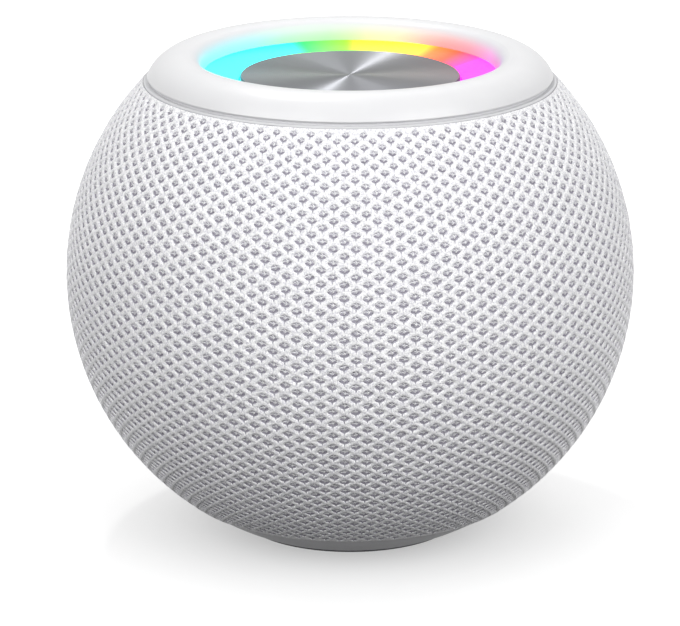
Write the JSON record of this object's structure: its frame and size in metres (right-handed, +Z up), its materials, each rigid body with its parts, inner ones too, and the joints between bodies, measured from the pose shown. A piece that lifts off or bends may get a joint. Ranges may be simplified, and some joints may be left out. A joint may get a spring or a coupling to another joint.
{
  "type": "smart speaker",
  "caption": "Ball-shaped table speaker in a white knitted sleeve, cut off flat below, with a dished top ring, a coloured light ring and a turned metal disc that is pressed.",
  "frame": {"origin": "middle of the foot pad's underside, on the table", "axes": "+Z up, -Y towards the side that the picture shows, +Y towards the rear panel"},
  "size_m": [0.1, 0.0998, 0.085],
  "materials": {
    "white_plastic": "satin moulded",
    "collar_plastic": "matt moulded",
    "opal_plastic": "opal, lit from below in changing colours",
    "turned_aluminium": "turned face with fine concentric grooves",
    "knit_fabric": "white knitted spacer mesh",
    "foot_rubber": "matt",
    "black_plastic": "matt moulded",
    "panel_plastic": "satin moulded",
    "key_rubber": "matt",
    "board": "solder-masked",
    "chip_plastic": "moulded",
    "led_plastic": "clear-filled white body",
    "shield_steel": "tinned",
    "screw_steel": "plated",
    "motor_steel": "zinc plated",
    "capacitor_can": "sleeved",
    "cone_paper": "coated pulp",
    "coil_copper": "enamelled wire on a former",
    "spider_cloth": "impregnated cloth",
    "soft_rubber": "soft"
  },
  "bodies": {
    "body": {"top_ring": "white_plastic", "collar": "collar_plastic", "base_cap": "collar_plastic", "light_diffuser": "opal_plastic", "light_pipe": "opal_plastic", "fabric_cover": "knit_fabric", "foot_pad": "foot_rubber", "upper_shell": "black_plastic", "lower_shell": "black_plastic", "sound_deflector": "black_plastic", "baffle": "black_plastic", "battery_cradle": "black_plastic", "rear_panel": "panel_plastic", "main_board": "board", "led_board": "board", "control_board": "board", "amplifier_chip": "chip_plastic", "disc_switch": "chip_plastic", "key_switches": "chip_plastic", "leds": "led_plastic", "status_led": "led_plastic", "radio_module": "shield_steel", "usb_socket": "shield_steel", "base_screws": "screw_steel", "baffle_screws": "screw_steel", "driver_screws": "screw_steel", "led_board_screws": "screw_steel", "board_screws": "screw_steel", "cradle_screws": "screw_steel", "control_screws": "screw_steel", "yoke": "motor_steel", "pole_plate": "motor_steel", "magnet": "motor_steel", "driver_frame": "motor_steel", "capacitors": "capacitor_can", "battery_cell": "capacitor_can", "spider": "spider_cloth", "surround": "soft_rubber", "driver_gasket": "soft_rubber", "battery_pad": "soft_rubber"},
    "top_key": {"top_disc": "turned_aluminium", "disc_carrier": "white_plastic", "carrier_screws": "screw_steel", "disc_plunger": "chip_plastic"},
    "power_key": {"key_power": "key_rubber", "plunger_power": "chip_plastic"},
    "volume_up_key": {"key_volume_up": "key_rubber", "plunger_volume_up": "chip_plastic"},
    "volume_down_key": {"key_volume_down": "key_rubber", "plunger_volume_down": "chip_plastic"},
    "diaphragm": {"cone": "cone_paper", "dust_cap": "cone_paper", "voice_coil": "coil_copper"}
  },
  "joints": [
    {"name": "disc_press", "type": "slide", "parent": "body", "child": "top_key", "axis": [0, 0, -1], "range_m": [0, 0.0005], "stiffness_N_per_m": 400, "springref_m": -0.0003},
    {"name": "power_press", "type": "slide", "parent": "body", "child": "power_key", "axis": [0, -1, 0], "range_m": [0, 0.0004], "stiffness_N_per_m": 60},
    {"name": "volume_up_press", "type": "slide", "parent": "body", "child": "volume_up_key", "axis": [0, -1, 0], "range_m": [0, 0.0004], "stiffness_N_per_m": 60},
    {"name": "volume_down_press", "type": "slide", "parent": "body", "child": "volume_down_key", "axis": [0, -1, 0], "range_m": [0, 0.0004], "stiffness_N_per_m": 60},
    {"name": "cone_stroke", "type": "slide", "parent": "body", "child": "diaphragm", "axis": [0, 0, 1], "range_m": [-0.0015, 0.0015], "stiffness_N_per_m": 300, "deforming": ["surround", "spider"]}
  ]
}
